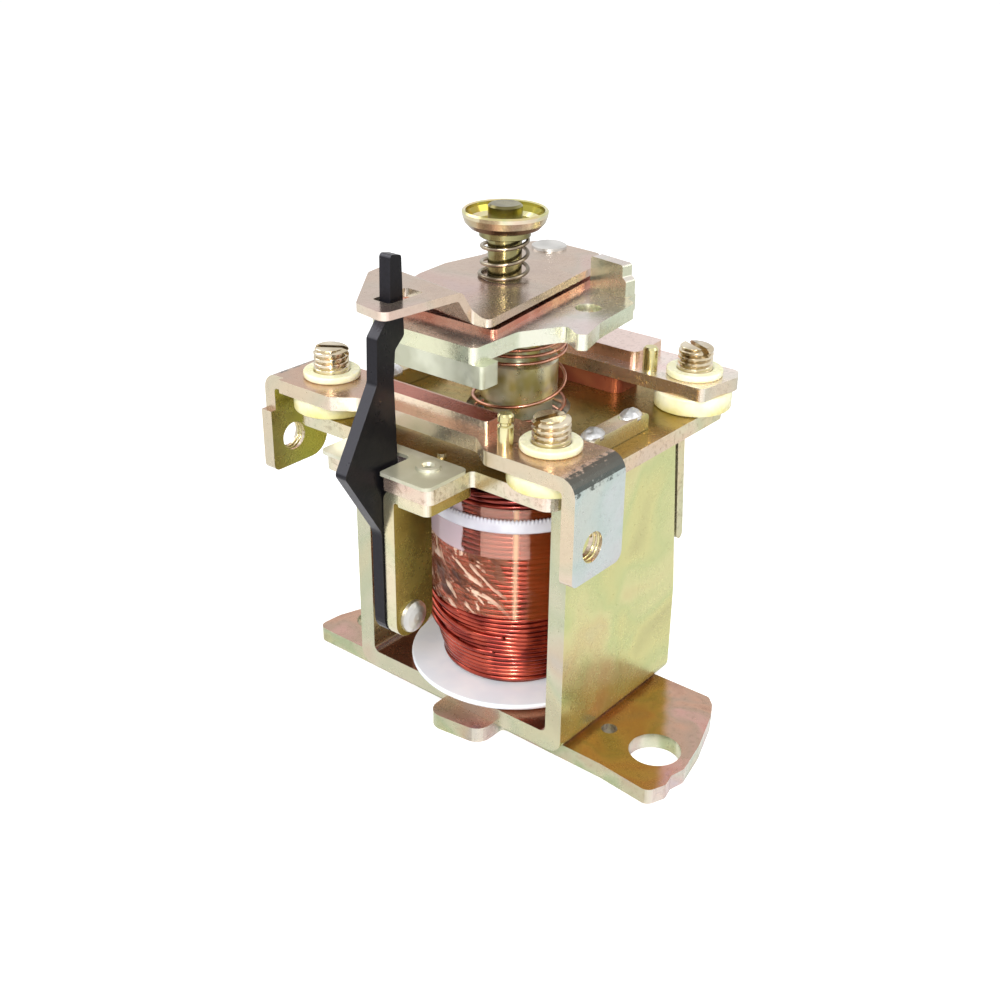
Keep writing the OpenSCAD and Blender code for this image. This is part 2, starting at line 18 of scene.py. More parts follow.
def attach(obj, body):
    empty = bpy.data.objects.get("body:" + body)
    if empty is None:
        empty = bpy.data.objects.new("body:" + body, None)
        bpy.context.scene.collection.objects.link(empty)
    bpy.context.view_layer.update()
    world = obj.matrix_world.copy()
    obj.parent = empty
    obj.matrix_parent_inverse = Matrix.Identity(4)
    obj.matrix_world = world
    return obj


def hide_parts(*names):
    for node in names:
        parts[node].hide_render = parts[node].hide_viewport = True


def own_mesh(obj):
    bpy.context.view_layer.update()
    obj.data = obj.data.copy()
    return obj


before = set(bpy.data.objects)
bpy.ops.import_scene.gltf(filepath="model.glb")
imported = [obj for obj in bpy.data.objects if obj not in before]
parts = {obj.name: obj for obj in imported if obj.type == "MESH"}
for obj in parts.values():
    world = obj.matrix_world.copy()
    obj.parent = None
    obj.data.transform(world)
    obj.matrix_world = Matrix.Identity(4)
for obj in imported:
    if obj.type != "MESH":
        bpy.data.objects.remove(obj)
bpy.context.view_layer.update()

MM = 0.001

# %% [markdown]
# The camera comes first, because every later choice is judged through it. A product
# photograph of a small object is taken from close by, so the lens sees strong
# perspective. The place and the lens below were found by lining up the straight edges
# of the yoke with the picture.

# %% Camera
scene = bpy.context.scene
CAMERA_PLACE = (0.109948, -0.140675, 0.119567)
CAMERA_TURN = (63.781, -0.592, 39.112)
LENS_MM = 47.917

camera = bpy.data.objects.new("camera", bpy.data.cameras.new("camera"))
scene.collection.objects.link(camera)
camera.location = CAMERA_PLACE
camera.rotation_euler = Euler([math.radians(a) for a in CAMERA_TURN], "XYZ")
camera.data.lens = LENS_MM
camera.data.sensor_width = 36
camera.data.clip_start = 0.01
camera.data.clip_end = 20
scene.camera = camera
print("camera", CAMERA_PLACE, "lens", LENS_MM, "mm")

# %% [markdown]
# A shader wants colours as linear light, but a maker picks them as a screen shows them.
# `paint` turns screen values from 0 to 255 into linear ones. `add` makes one shader
# node, sets its options, and fills or links its inputs by name. `spread` turns a range of
# values into a soft step from 0 to 1, `band` is 1 between two such steps, and a few more
# helpers keep the node trees readable.

# %% Node helpers
def paint(red, green, blue):
    def linear(value):
        value /= 255
        return value / 12.92 if value <= 0.04045 else ((value + 0.055) / 1.055) ** 2.4
    return (linear(red), linear(green), linear(blue), 1.0)


def feed(tree, socket, value):
    if isinstance(value, bpy.types.NodeSocket):
        tree.links.new(value, socket)
    else:
        socket.default_value = value


def add(tree, kind, feeds=None, **settings):
    node = tree.nodes.new(kind)
    for key, value in settings.items():
        setattr(node, key, value)
    for key, value in (feeds or {}).items():
        feed(tree, node.inputs[key], value)
    return node


def maths(tree, operation, a, b=0.0):
    return add(tree, "ShaderNodeMath", {0: a, 1: b}, operation=operation).outputs[0]


def times(tree, a, b):
    return maths(tree, "MULTIPLY", a, b)


def plus(tree, a, b):
    return maths(tree, "ADD", a, b)


def blend_colour(tree, factor, a, b, mode="MIX"):
    node = add(tree, "ShaderNodeMix", data_type="RGBA", blend_type=mode)
    for index, value in ((0, factor), (6, a), (7, b)):
        feed(tree, node.inputs[index], value)
    return node.outputs[2]


def spread(tree, value, low, high, to_low=0.0, to_high=1.0):
    node = add(tree, "ShaderNodeMapRange", {0: value, 1: low, 2: high, 3: to_low, 4: to_high})
    node.interpolation_type = "SMOOTHSTEP"
    return node.outputs[0]


def band(tree, value, low, high, soft):
    rising = spread(tree, value, low - soft, low + soft)
    return times(tree, rising, spread(tree, value, high + soft, high - soft))


def noise_at(tree, place, scale, detail=2.0, rough=0.5, warp=0.0):
    node = add(tree, "ShaderNodeTexNoise", {"Vector": place, "Scale": scale, "Detail": detail,
                                            "Roughness": rough, "Distortion": warp})
    return node.outputs["Fac"]


def new_group(name, inputs, outputs):
    group = bpy.data.node_groups.new(name, "ShaderNodeTree")
    for label, kind, value in inputs:
        socket = group.interface.new_socket(label, in_out="INPUT", socket_type=kind)
        socket.default_value = value
    for label, kind in outputs:
        group.interface.new_socket(label, in_out="OUTPUT", socket_type=kind)
    return group, add(group, "NodeGroupInput").outputs, add(group, "NodeGroupOutput").inputs


def use_group(tree, group, **values):
    node = tree.nodes.new("ShaderNodeGroup")
    node.node_tree = group
    for key, value in values.items():
        feed(tree, node.inputs[key], value)
    return node.outputs


def tint_ramp(tree, value, tints):
    ramp = add(tree, "ShaderNodeValToRGB", {0: value})
    stops = ramp.color_ramp.elements
    while len(stops) < len(tints):
        stops.new(0.5)
    for stop, (at, tint) in zip(stops, tints):
        stop.position = at
        stop.color = paint(*tint)
    return ramp.outputs[0]


FLOAT, COLOUR = "NodeSocketFloat", "NodeSocketColor"
print("node helpers ready; middle grey is", round(paint(128, 128, 128)[0], 3), "in linear light")

# %% [markdown]
# Most sheets of the relay are steel with a yellow zinc plating. The plating is a film
# so thin that it shows interference colours: straw, green, pink and lilac, which drift
# over a few millimetres like oil on water. A soft noise stands for the thickness of the
# film, and a colour ramp turns that thickness into the tint. The group multiplies the
# tint over the sheet's own colour, so every sheet shares the bath but not the pattern.

# %% Group: plating film
FILM_TINTS = [
    (0.30, (214, 206, 168)), (0.40, (248, 244, 204)), (0.48, (218, 236, 204)),
    (0.55, (255, 252, 236)), (0.63, (255, 226, 214)), (0.72, (228, 220, 248)),
]


def make_film():
    group, given, out = new_group(
        "Plating film",
        [("Base", COLOUR, paint(205, 200, 150)), ("Amount", FLOAT, 0.6), ("Size", FLOAT, 90.0),
         ("Shift", FLOAT, 0.0)],
        [("Color", COLOUR)])
    place = add(group, "ShaderNodeTexCoord").outputs["Object"]
    moved = add(group, "ShaderNodeVectorMath", {0: place, 1: given["Shift"]}).outputs[0]
    film = noise_at(group, moved, given["Size"], 2.5, 0.5, 0.6)
    tint = tint_ramp(group, film, FILM_TINTS)
    tinted = blend_colour(group, given["Amount"], given["Base"], tint, "MULTIPLY")
    group.links.new(tinted, out["Color"])
    return group


PLATING_FILM = make_film()
print("group", PLATING_FILM.name, "with", len(FILM_TINTS), "tints")

# %% [markdown]
# A sheet doesn't look the same on all its sides. The rolled faces are smooth, the cut
# edges are paler, and the rounds between them are lighter, partly from wear and partly as
# a painted highlight. This group picks one of three colours from the direction that the
# surface faces, softly, so that a bend runs from one into the next. Besides the sheet's own
# finish, these colours carry painted light and shade: each face gets the brightness it
# takes in the studio. It also puts out a mask for the rounds, where the direction lies
# between two axes.

# %% Group: facing colour
def make_facing():
    group, given, out = new_group(
        "Facing colour",
        [("Top", COLOUR, paint(200, 190, 170)), ("Front", COLOUR, paint(220, 210, 190)),
         ("Side", COLOUR, paint(205, 205, 140))],
        [("Color", COLOUR), ("Round", FLOAT)])
    normal = add(group, "ShaderNodeNewGeometry").outputs["Normal"]
    x, y, z = add(group, "ShaderNodeSeparateXYZ", {0: normal}).outputs
    x, y, z = (maths(group, "ABSOLUTE", value) for value in (x, y, z))
    # Painted light and shade: the Top, Front and Side colours give each facing its own brightness.
    up = spread(group, z, 0.35, 0.8)
    front = spread(group, y, 0.4, 0.85)
    colour = blend_colour(group, front, given["Side"], given["Front"])
    colour = blend_colour(group, up, colour, given["Top"])
    main = maths(group, "MAXIMUM", maths(group, "MAXIMUM", x, y), z)
    group.links.new(colour, out["Color"])
    group.links.new(spread(group, main, 0.98, 0.86), out["Round"])
    return group


FACING_COLOUR = make_facing()
print("group", FACING_COLOUR.name)

# %% [markdown]
# Close up, plated steel has a fine mottled grain from the pickling bath and a few
# hair-thin handling scratches. Both are far too small to model, so this group puts out
# a height for a Bump node and a roughness to go with it.

# %% Group: fine grain
def make_grain():
    group, given, out = new_group(
        "Fine grain",
        [("Scale", FLOAT, 1400.0), ("Low", FLOAT, 0.2), ("High", FLOAT, 0.4)],
        [("Height", FLOAT), ("Roughness", FLOAT), ("Speck", FLOAT)])
    place = add(group, "ShaderNodeTexCoord").outputs["Object"]
    grain = noise_at(group, place, given["Scale"], 3, 0.6)
    stretched = add(group, "ShaderNodeVectorMath", {0: place, 1: (1, 0.06, 0.3)},
                    operation="MULTIPLY").outputs[0]
    scratch = noise_at(group, stretched, times(group, given["Scale"], 3.0), 1, 0.4)
    lines = spread(group, scratch, 0.64, 0.76)
    height = maths(group, "SUBTRACT", grain, times(group, lines, 0.3))
    patch = noise_at(group, place, 190, 2, 0.5)
    mixed = plus(group, times(group, grain, 0.45), times(group, patch, 0.55))
    rough = add(group, "ShaderNodeMapRange",
                {0: mixed, 1: 0.3, 2: 0.7, 3: given["Low"], 4: given["High"]}).outputs[0]
    group.links.new(height, out["Height"])
    group.links.new(rough, out["Roughness"])
    group.links.new(spread(group, grain, 0.52, 0.66), out["Speck"])
    return group


FINE_GRAIN = make_grain()
print("group", FINE_GRAIN.name)

# %% [markdown]
# A terminal strip is bent down at its ends, and there the press tool has rubbed the
# plating to a dark, granular grey. The mask below is strong where the surface looks up
# and sideways at once, as it does only on such a bend. A coarse noise breaks it up, and
# it fades out where the bend has run into the upright lug.

# %% Group: worn bend
BEND_FADE_MM = (47.5, 49.5)


def make_worn_bend():
    group, given, out = new_group("Worn bend", [("Grain", FLOAT, 800.0)], [("Mask", FLOAT)])
    normal = add(group, "ShaderNodeNewGeometry").outputs["Normal"]
    x, _, z = add(group, "ShaderNodeSeparateXYZ", {0: normal}).outputs
    slope = times(group, maths(group, "ABSOLUTE", x), z)
    place = add(group, "ShaderNodeTexCoord").outputs["Object"]
    height = add(group, "ShaderNodeSeparateXYZ", {0: place}).outputs[2]
    rough = noise_at(group, place, given["Grain"], 5, 0.75)
    uneven = plus(group, slope, times(group, rough, 1.3))
    sloping = times(group, spread(group, uneven, 0.74, 0.94), spread(group, slope, 0.03, 0.1))
    above = spread(group, height, BEND_FADE_MM[0] * MM, BEND_FADE_MM[1] * MM)
    group.links.new(times(group, sloping, above), out["Mask"])
    return group


WORN_BEND = make_worn_bend()
print("group", WORN_BEND.name)

# %% [markdown]
# On three sheets the colour also changes from place to place. The right foot of the base
# is deep gold beside the yoke, a painted reflection of the yoke's wall, and pink farther
# out. The left end of the front strip is yellower than its right end. The yoke is brown
# inside, which is painted shade between its walls. This group gives a mask for each:
# `Right` turns to one beyond the middle of the relay, `Inside` is one between the yoke's
# walls, and `Far` is one everywhere but on the inner side of a slanting line on the right
# foot, made a little wavy by a noise.

# %% Group: where
# Where the masks fade, in mm: at the walls, at the foot of the right wall, and across the
# slanting line, which is measured as SLANT[0] * x + SLANT[1] * y
INSIDE_MM = (16.5, 17.3)
FOOT_MM = (18.2, 19.2)
SLANT = (0.86, 0.51)
SLANT_MM = (24.8, 26.6)


def make_where():
    group, given, out = new_group("Where", [("Waves", FLOAT, 160.0)],
                                  [("Right", FLOAT), ("Far", FLOAT), ("Inside", FLOAT)])
    place = add(group, "ShaderNodeTexCoord").outputs["Object"]
    x, y, _ = add(group, "ShaderNodeSeparateXYZ", {0: place}).outputs
    outward = maths(group, "ABSOLUTE", x)
    wave = times(group, noise_at(group, place, given["Waves"], 2, 0.5), 3 * MM)
    slant = plus(group, times(group, x, SLANT[0]), times(group, y, SLANT[1]))
    past = spread(group, plus(group, slant, wave), SLANT_MM[0] * MM, SLANT_MM[1] * MM)
    off_foot = spread(group, x, FOOT_MM[1] * MM, FOOT_MM[0] * MM)
    group.links.new(spread(group, x, -1 * MM, 1 * MM), out["Right"])
    group.links.new(spread(group, outward, INSIDE_MM[1] * MM, INSIDE_MM[0] * MM), out["Inside"])
    group.links.new(maths(group, "MAXIMUM", past, off_foot), out["Far"])
    return group


WHERE = make_where()
print("group", WHERE.name)

# %% [markdown]
# `plated` builds one sheet material from these groups. Each sheet gives its own three
# facing colours, because the chromate film differs from sheet to sheet and because those
# colours also paint in the light and shade on each face. Specks a shade darker break up
# the flat faces, and the rounds are a shade lighter, as wear and as a painted highlight.

# %% Plated sheet materials
def start_material(name, metallic, coat=0.0):
    material = bpy.data.materials.new(name)
    material.use_nodes = True
    shader = material.node_tree.nodes["Principled BSDF"]
    shader.inputs["Metallic"].default_value = metallic
    shader.inputs["Coat Weight"].default_value = coat
    shader.inputs["Coat Roughness"].default_value = 0.08
    return material, material.node_tree, shader


def bump(tree, shader, height, strength, depth):
    node = add(tree, "ShaderNodeBump", {"Height": height, "Strength": strength, "Distance": depth})
    tree.links.new(node.outputs[0], shader.inputs["Normal"])


def plated(name, top, front, side, film=0.6, shift=0.0, speck=0.2, low=0.16, high=0.34, size=60.0,
           round_highlight_and_wear=(238, 234, 222), bend=0.0, left=None, near=None, inside=None):
    material, tree, shader = start_material(name, 0.9)
    side_colour, top_colour = paint(*side), paint(*top)
    if left:
        side_colour = blend_colour(tree, use_group(tree, WHERE)["Right"], paint(*left), side_colour)
    # The near colour is a painted reflection of the yoke wall, laid where Far is zero.
    if near:
        top_colour = blend_colour(tree, use_group(tree, WHERE)["Far"], paint(*near), top_colour)
    # The inside colour is painted shade between the yoke's walls.
    if inside:
        within = use_group(tree, WHERE)["Inside"]
        side_colour = blend_colour(tree, within, side_colour, paint(*inside))
        top_colour = blend_colour(tree, within, top_colour, paint(*inside))
    facing = use_group(tree, FACING_COLOUR, Top=top_colour, Front=paint(*front), Side=side_colour)
    tint = use_group(tree, PLATING_FILM, Base=facing["Color"], Amount=film, Shift=shift, Size=size)
    grain = use_group(tree, FINE_GRAIN, Low=low, High=high)
    specks = times(tree, grain["Speck"], speck)
    colour = blend_colour(tree, specks, tint["Color"], paint(132, 108, 70), "MULTIPLY")
    # The round colour is a painted highlight as well as wear.
    rounds = times(tree, facing["Round"], 0.5)
    colour = blend_colour(tree, rounds, colour, paint(*round_highlight_and_wear))
    if bend:
        worn = use_group(tree, WORN_BEND)["Mask"]
        colour = blend_colour(tree, times(tree, worn, bend), colour, paint(46, 54, 50))
    tree.links.new(colour, shader.inputs["Base Color"])
    tree.links.new(grain["Roughness"], shader.inputs["Roughness"])
    bump(tree, shader, grain["Height"], 0.25, 0.00003)
    return material


# Painted light and shade below: the dark top of top_plate is painted shade under the parts above it, the
# near colour of base_plate is a painted reflection of the yoke wall, and the inside colour of yoke is
# painted shade.
SHEETS = {
    "base_plate": plated("plated base", (200, 162, 156), (190, 190, 170), (206, 202, 200), 0.68, 0.1,
                         0.14, size=110.0, near=(176, 134, 76)),
    "yoke": plated("plated yoke", (198, 184, 158), (203, 200, 182), (212, 210, 158), 0.5, 0.4, 0.04,
                   size=55.0, inside=(160, 108, 86)),
    "top_plate": plated("plated top", (166, 140, 78), (226, 214, 200), (218, 208, 184), 0.6, 0.7, 0.3),
    "lever_bracket": plated("plated bracket", (198, 190, 150), (226, 216, 192), (170, 146, 80),
                            0.5, 1.1, 0.12),
    "front_strip": plated("plated front strip", (196, 164, 150), (216, 200, 184), (200, 208, 212),
                          0.4, 1.5, 0.06, bend=0.85, left=(196, 188, 110)),
    "rear_strip": plated("plated rear strip", (238, 224, 222), (222, 190, 168), (216, 202, 190),
                         0.4, 1.9, 0.15),
    "bridge_plate": plated("plated bridge", (214, 204, 204), (228, 230, 208), (214, 218, 200),
                           0.35, 2.3, 0.06),
    "latch_plate": plated("plated latch", (196, 174, 164), (220, 206, 192), (212, 192, 180),
                          0.35, 2.7, 0.08, round_highlight_and_wear=(230, 212, 200)),
}
print(len(SHEETS), "plated materials")

# %% [markdown]
# The other metals and the plastics need only a base colour that drifts a little, a
# grain and the right gloss. `plain` is enough for them.

# %% Plain materials
def plain(name, dark, light, metallic, low, high, scale=1400.0, strength=0.2, depth=0.00003,
          coat=0.0, drift=220.0):
    material, tree, shader = start_material(name, metallic, coat)
    place = add(tree, "ShaderNodeTexCoord").outputs["Object"]
    cloud = spread(tree, noise_at(tree, place, drift, 2, 0.5), 0.35, 0.65)
    colour = blend_colour(tree, cloud, paint(*dark), paint(*light))
    grain = use_group(tree, FINE_GRAIN, Scale=scale, Low=low, High=high)
    tree.links.new(colour, shader.inputs["Base Color"])
    tree.links.new(grain["Roughness"], shader.inputs["Roughness"])
    bump(tree, shader, grain["Height"], strength, depth)
    return material


moving_bar = plain("silvered bar", (196, 198, 176), (226, 228, 208), 1.0, 0.3, 0.55, 900, 0.5, 0.00008)
shim_copper = plain("copper shim", (210, 142, 120), (232, 182, 160), 1.0, 0.2, 0.35)
spacer_brown = plain("brown block", (132, 62, 46), (170, 98, 68), 0.4, 0.24, 0.4, drift=160)
slot_steel = plain("slot sheet", (196, 194, 170), (214, 212, 194), 0.55, 0.26, 0.42)
grey_rivet = plain("grey rivet", (194, 192, 188), (218, 216, 212), 1.0, 0.25, 0.42)
white_plastic = plain("white plastic", (234, 240, 247), (243, 247, 251), 0.0, 0.3, 0.45)
band_plastic = plain("band plastic", (204, 202, 214), (222, 222, 230), 0.0, 0.3, 0.45)
dark_copper = plain("inner wire", (90, 34, 20), (120, 50, 30), 0.6, 0.3, 0.5)
iron = plain("plated iron", (172, 164, 104), (220, 220, 198), 0.75, 0.22, 0.42, 900, 0.4, 0.00005,
             drift=260)
stud_gold = plain("plated thread", (192, 176, 146), (226, 214, 190), 1.0, 0.12, 0.26)
pin_brass = plain("turned brass", (204, 194, 142), (226, 218, 172), 1.0, 0.16, 0.28)
spring_copper = plain("copper spring", (160, 104, 82), (222, 172, 150), 1.0, 0.18, 0.3)
spring_steel = plain("dark spring", (112, 100, 84), (166, 154, 134), 1.0, 0.16, 0.3)
# The stem and its collar are a dark olive: partly their plating, partly painted shade under the cup.
stem_steel = plain("plated stem", (108, 100, 64), (150, 144, 102), 1.0, 0.14, 0.3)
print("plain materials ready")

# %% [markdown]
# A few finishes need a little more. The contact bars are given a colour for each side,
# which paints in the light and reflection each face takes: the front one is copper on top
# with a pale front edge, and the rear one is pale on top and coppery in front. The lever is
# blackened steel, lighter on top as painted light, whose edges are grey, partly from wear
# and partly as a painted highlight. The wire has a clear red enamel over copper, which is
# darker near the top of the coil, as painted shade under the plates.

# %% Contact copper, black lever and enamel
def faced(name, top, front, side, edge, metallic, low, high, worn):
    material, tree, shader = start_material(name, metallic)
    facing = use_group(tree, FACING_COLOUR, Top=paint(*top), Front=paint(*front), Side=paint(*side))
    grain = use_group(tree, FINE_GRAIN, Scale=1800.0, Low=low, High=high)
    # The edge colour on the rounds is a painted highlight as well as wear.
    rounds = times(tree, facing["Round"], worn)
    specks = times(tree, grain["Speck"], 0.2)
    colour = blend_colour(tree, specks, facing["Color"], paint(120, 110, 100), "MULTIPLY")
    tree.links.new(blend_colour(tree, rounds, colour, paint(*edge)), shader.inputs["Base Color"])
    tree.links.new(grain["Roughness"], shader.inputs["Roughness"])
    bump(tree, shader, grain["Height"], 0.4, 0.00005)
    return material


# Heights in mm over which the top turns darken: painted shade under the plates.
TOP_SHADE_MM = (34.5, 38.5)


def enamelled():
    material, tree, shader = start_material("enamelled wire", 0.9, 0.4)
    shader.inputs["Coat Roughness"].default_value = 0.2
    place = add(tree, "ShaderNodeTexCoord").outputs["Object"]
    z = add(tree, "ShaderNodeSeparateXYZ", {0: place}).outputs[2]
    cloud = spread(tree, noise_at(tree, place, 300, 2, 0.5), 0.35, 0.65)
    colour = blend_colour(tree, cloud, paint(134, 38, 25), paint(182, 76, 55))
    # Painted shade on the top turns, which sit under the plates.
    darker = spread(tree, z, TOP_SHADE_MM[0] * MM, TOP_SHADE_MM[1] * MM, 0.0, 0.75)
    colour = blend_colour(tree, darker, colour, paint(96, 28, 26))
    grain = use_group(tree, FINE_GRAIN, Scale=900.0, Low=0.12, High=0.26)
    tree.links.new(colour, shader.inputs["Base Color"])
    tree.links.new(grain["Roughness"], shader.inputs["Roughness"])
    bump(tree, shader, grain["Height"], 0.1, 0.00002)
    return material


# Each bar's top, front and side colours paint in the light and reflection of that face.
copper_bar = faced("copper bar", (176, 104, 84), (244, 224, 200), (190, 140, 116), (240, 226, 206),
                   0.95, 0.16, 0.32, 0.5)
rear_bar = faced("rear bar", (232, 210, 202), (206, 160, 130), (220, 190, 166), (240, 228, 210),
                 0.95, 0.2, 0.4, 0.5)
# The lever's lighter top and darker sides are painted light and shade.
black_steel = faced("black lever", (44, 42, 48), (32, 31, 36), (22, 21, 24), (112, 112, 118),
                    0.3, 0.26, 0.44, 0.3)
black_steel.node_tree.nodes["Principled BSDF"].inputs["Specular IOR Level"].default_value = 0.2
enamel = enamelled()
print("copper, lever and enamel ready")

# %% [markdown]
# The cup of the push button is drawn from one disc. Its plating is olive, and a colour
# ramp paints light and shade over it: the inside wall is deep olive as painted shade, the
# floor and the rolled rim are pale as painted light, and its underside is brownish as
# painted shade. All of these follow from how far the surface looks up or down, so one
# colour ramp over the upward part of the normal is enough.

# %% Cup
CUP_LIGHT_AND_SHADE = [(0.05, (120, 92, 70)), (0.3, (200, 184, 162)), (0.47, (228, 220, 200)),
               (0.6, (150, 138, 48)), (0.85, (184, 172, 84)), (0.97, (226, 218, 178))]


def cup_material():
    material, tree, shader = start_material("drawn cup", 0.95)
    normal = add(tree, "ShaderNodeNewGeometry").outputs["Normal"]
    up = add(tree, "ShaderNodeSeparateXYZ", {0: normal}).outputs[2]
    # The ramp paints light and shade by how far the surface looks up or down.
    colour = tint_ramp(tree, spread(tree, up, -1.0, 1.0), CUP_LIGHT_AND_SHADE)
    tint = use_group(tree, PLATING_FILM, Base=colour, Amount=0.5, Size=160.0)
    grain = use_group(tree, FINE_GRAIN, Low=0.12, High=0.28)
    tree.links.new(tint["Color"], shader.inputs["Base Color"])
    tree.links.new(grain["Roughness"], shader.inputs["Roughness"])
    bump(tree, shader, grain["Height"], 0.2, 0.00003)
    return material


button_gold = cup_material()
print("cup ready,", len(CUP_LIGHT_AND_SHADE), "colours")

# %% [markdown]
# Nylon is cream, but light that has travelled through it turns yellow. The spacers
# stand on the dark top plate, so their lower part looks deeper in colour than the rim.
# A mask from the height of the point inside each washer or spacer makes that drift,
# and a little subsurface light keeps the edge soft.

# %% Nylon
def nylon(name, low_z, high_z):
    material, tree, shader = start_material(name, 0.0)
    place = add(tree, "ShaderNodeTexCoord").outputs["Object"]
    z = add(tree, "ShaderNodeSeparateXYZ", {0: place}).outputs[2]
    height = spread(tree, z, low_z * MM, high_z * MM)
    cloud = spread(tree, noise_at(tree, place, 260, 2, 0.5), 0.3, 0.7)
    deep = blend_colour(tree, cloud, paint(222, 212, 140), paint(232, 226, 184))
    pale = blend_colour(tree, cloud, paint(238, 236, 190), paint(246, 244, 214))
    grain = use_group(tree, FINE_GRAIN, Low=0.2, High=0.34)
    tree.links.new(blend_colour(tree, height, deep, pale), shader.inputs["Base Color"])
    tree.links.new(grain["Roughness"], shader.inputs["Roughness"])
    shader.inputs["Subsurface Weight"].default_value = 0.25
    shader.inputs["Subsurface Radius"].default_value = (0.9, 0.8, 0.35)
    shader.inputs["Subsurface Scale"].default_value = 0.0012
    bump(tree, shader, grain["Height"], 0.1, 0.00003)
    return material


spacer_nylon = nylon("cream nylon spacer", 47.6, 49.6)
washer_nylon = nylon("cream nylon washer", 51.4, 52.6)
print("nylon materials ready")

# %% [markdown]
# Each CAD part now gets its finish. A dictionary from part to material shows at a
# glance which parts share one.

# %% Choose the finishes
FINISHES = dict(SHEETS)
for names, material in (
        (("slot_plate", "slot_rivet"), slot_steel),
        (("lever_rivet", "latch_rivet"), grey_rivet),
        (("trip_lever",), black_steel),
        (("bobbin",), white_plastic),
        (("tie_band", "coil_tape"), band_plastic),
        (("coil_core",), dark_copper),
        (("coil_winding",), enamel),
        (("fixed_core", "plunger"), iron),
        (("front_fixed_contact",), copper_bar),
        (("rear_fixed_contact",), rear_bar),
        (("front_moving_contact", "rear_moving_contact"), moving_bar),
        (("shim_plate",), shim_copper),
        (("rear_spacer",), spacer_brown),
        (("nylon_spacers",), spacer_nylon),
        (("nylon_washers",), washer_nylon),
        (("terminal_studs",), stud_gold),
        (("front_pin", "rear_pin"), pin_brass),
        (("return_spring",), spring_copper),
        (("button_spring",), spring_steel),
        (("cup",), button_gold),
        (("stem", "stem_collar"), stem_steel)):
    for part_name in names:
        FINISHES[part_name] = material
print(len(FINISHES), "finishes chosen")

# %% [markdown]
# A real sheet never has a knife-sharp edge: the press leaves a small round that
# catches the light. The CAD solids have sharp edges, so a Weld modifier joins their
# doubled points and a Bevel modifier rounds them. Modifiers leave the mesh as it is.

# %% Dress the CAD parts
ROUND_MM = {
    "base_plate": 0.4, "yoke": 0.35, "top_plate": 0.35, "lever_bracket": 0.25,
    "front_strip": 0.3, "rear_strip": 0.3, "bridge_plate": 0.35, "latch_plate": 0.22,
    "slot_plate": 0.1, "trip_lever": 0.3, "front_moving_contact": 0.3,
    "rear_moving_contact": 0.3, "front_fixed_contact": 0.25, "rear_fixed_contact": 0.25,
    "shim_plate": 0.12, "bobbin": 0.25, "nylon_spacers": 0.3, "nylon_washers": 0.25,
    "rear_spacer": 0.3,
}


def dress(part_name):
    part = parts[part_name]
    if len(part.data.materials) == 0:
        part.data.materials.append(FINISHES[part_name])
    for slot in part.material_slots:
        slot.material = FINISHES[part_name]
    if part_name in ROUND_MM:
        weld = part.modifiers.new("weld", "WELD")
        weld.merge_threshold = 0.00001
        bevel = part.modifiers.new("rounded edges", "BEVEL")
        bevel.width = ROUND_MM[part_name] * MM
        bevel.segments = 3
        bevel.limit_method = "ANGLE"
        bevel.angle_limit = math.radians(38)
        bevel.harden_normals = True
        bevel.use_clamp_overlap = True


for part_name in parts:
    dress(part_name)
print("dressed", len(parts), "parts,", len(ROUND_MM), "with rounded edges")

# %% [markdown]
# The wound and threaded parts are made here as finer meshes. `piece` turns points in
# millimetres and a list of faces into an object that rides on a body, and hides the CAD
# parts it stands for. `wire` sweeps a round section along a path: each ring is turned as
# little as possible from the one before, so the tube never twists.

# %% Mesh helpers
def piece(name, points, faces, material, body, stands_for=()):
    mesh = bpy.data.meshes.new(name)
    mesh.from_pydata([(x * MM, y * MM, z * MM) for x, y, z in points], [], faces)
    mesh.polygons.foreach_set("use_smooth", [True] * len(mesh.polygons))
    mesh.materials.append(material)
    item = bpy.data.objects.new(name, mesh)
    scene.collection.objects.link(item)
    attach(item, body)
    if stands_for:
        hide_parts(*stands_for)
    return item


def wire(path, radius, sides=10):
    path = np.array(path, float)
    along = np.gradient(path, axis=0)
    along /= np.linalg.norm(along, axis=1)[:, None]
    across = np.cross(along[0], (0.0, 0.0, 1.0))
    if np.linalg.norm(across) < 0.1:
        across = np.cross(along[0], (1.0, 0.0, 0.0))
    turn = np.linspace(0, 2 * np.pi, sides, endpoint=False)
    points = []
    for place, ahead in zip(path, along):
        across = across - ahead * np.dot(across, ahead)
        across /= np.linalg.norm(across)
        up = np.cross(ahead, across)
        ring = place + radius * (np.cos(turn)[:, None] * across + np.sin(turn)[:, None] * up)
        points.extend(map(tuple, ring))
    faces = [tuple(range(sides - 1, -1, -1))]
    for i in range(len(path) - 1):
        for k in range(sides):
            a, b = i * sides + k, i * sides + (k + 1) % sides
            faces.append((a, b, b + sides, a + sides))
    last = (len(path) - 1) * sides
    faces.append(tuple(range(last, last + sides)))
    return points, faces


def around(centre, radius, degrees, z):
    turn = math.radians(degrees)
    return (centre[0] + radius * math.cos(turn), centre[1] + radius * math.sin(turn), z)


COIL_AXIS = (0.4, -0.6)
STEM_AXIS = (-2.9, 0.0)
print("mesh helpers ready")

# %% [markdown]
# The winding is one wire, laid turn beside turn. A hand-fed machine never lays it quite
# level, so a slow noise over the drum lifts and lowers neighbouring turns together by a
# fraction of a millimetre, which keeps them from crossing. The lowest turns draw in
# towards the flange, because the layers under them end in a slope.

# %% Winding
WIRE_MM = 0.8
COIL_LOW, COIL_HIGH = 6.3, 43.2
DRAW_MM, DRAW_FROM, DRAW_OVER = 1.8, 8.3, 8.5
DRUM_MM, WANDER_MM, TURN_STEPS = 12.38, 0.38, 72


def drawn(z):
    return DRAW_MM * min(1.0, max(0.0, 1 - (z - DRAW_FROM) / DRAW_OVER)) ** 1.5


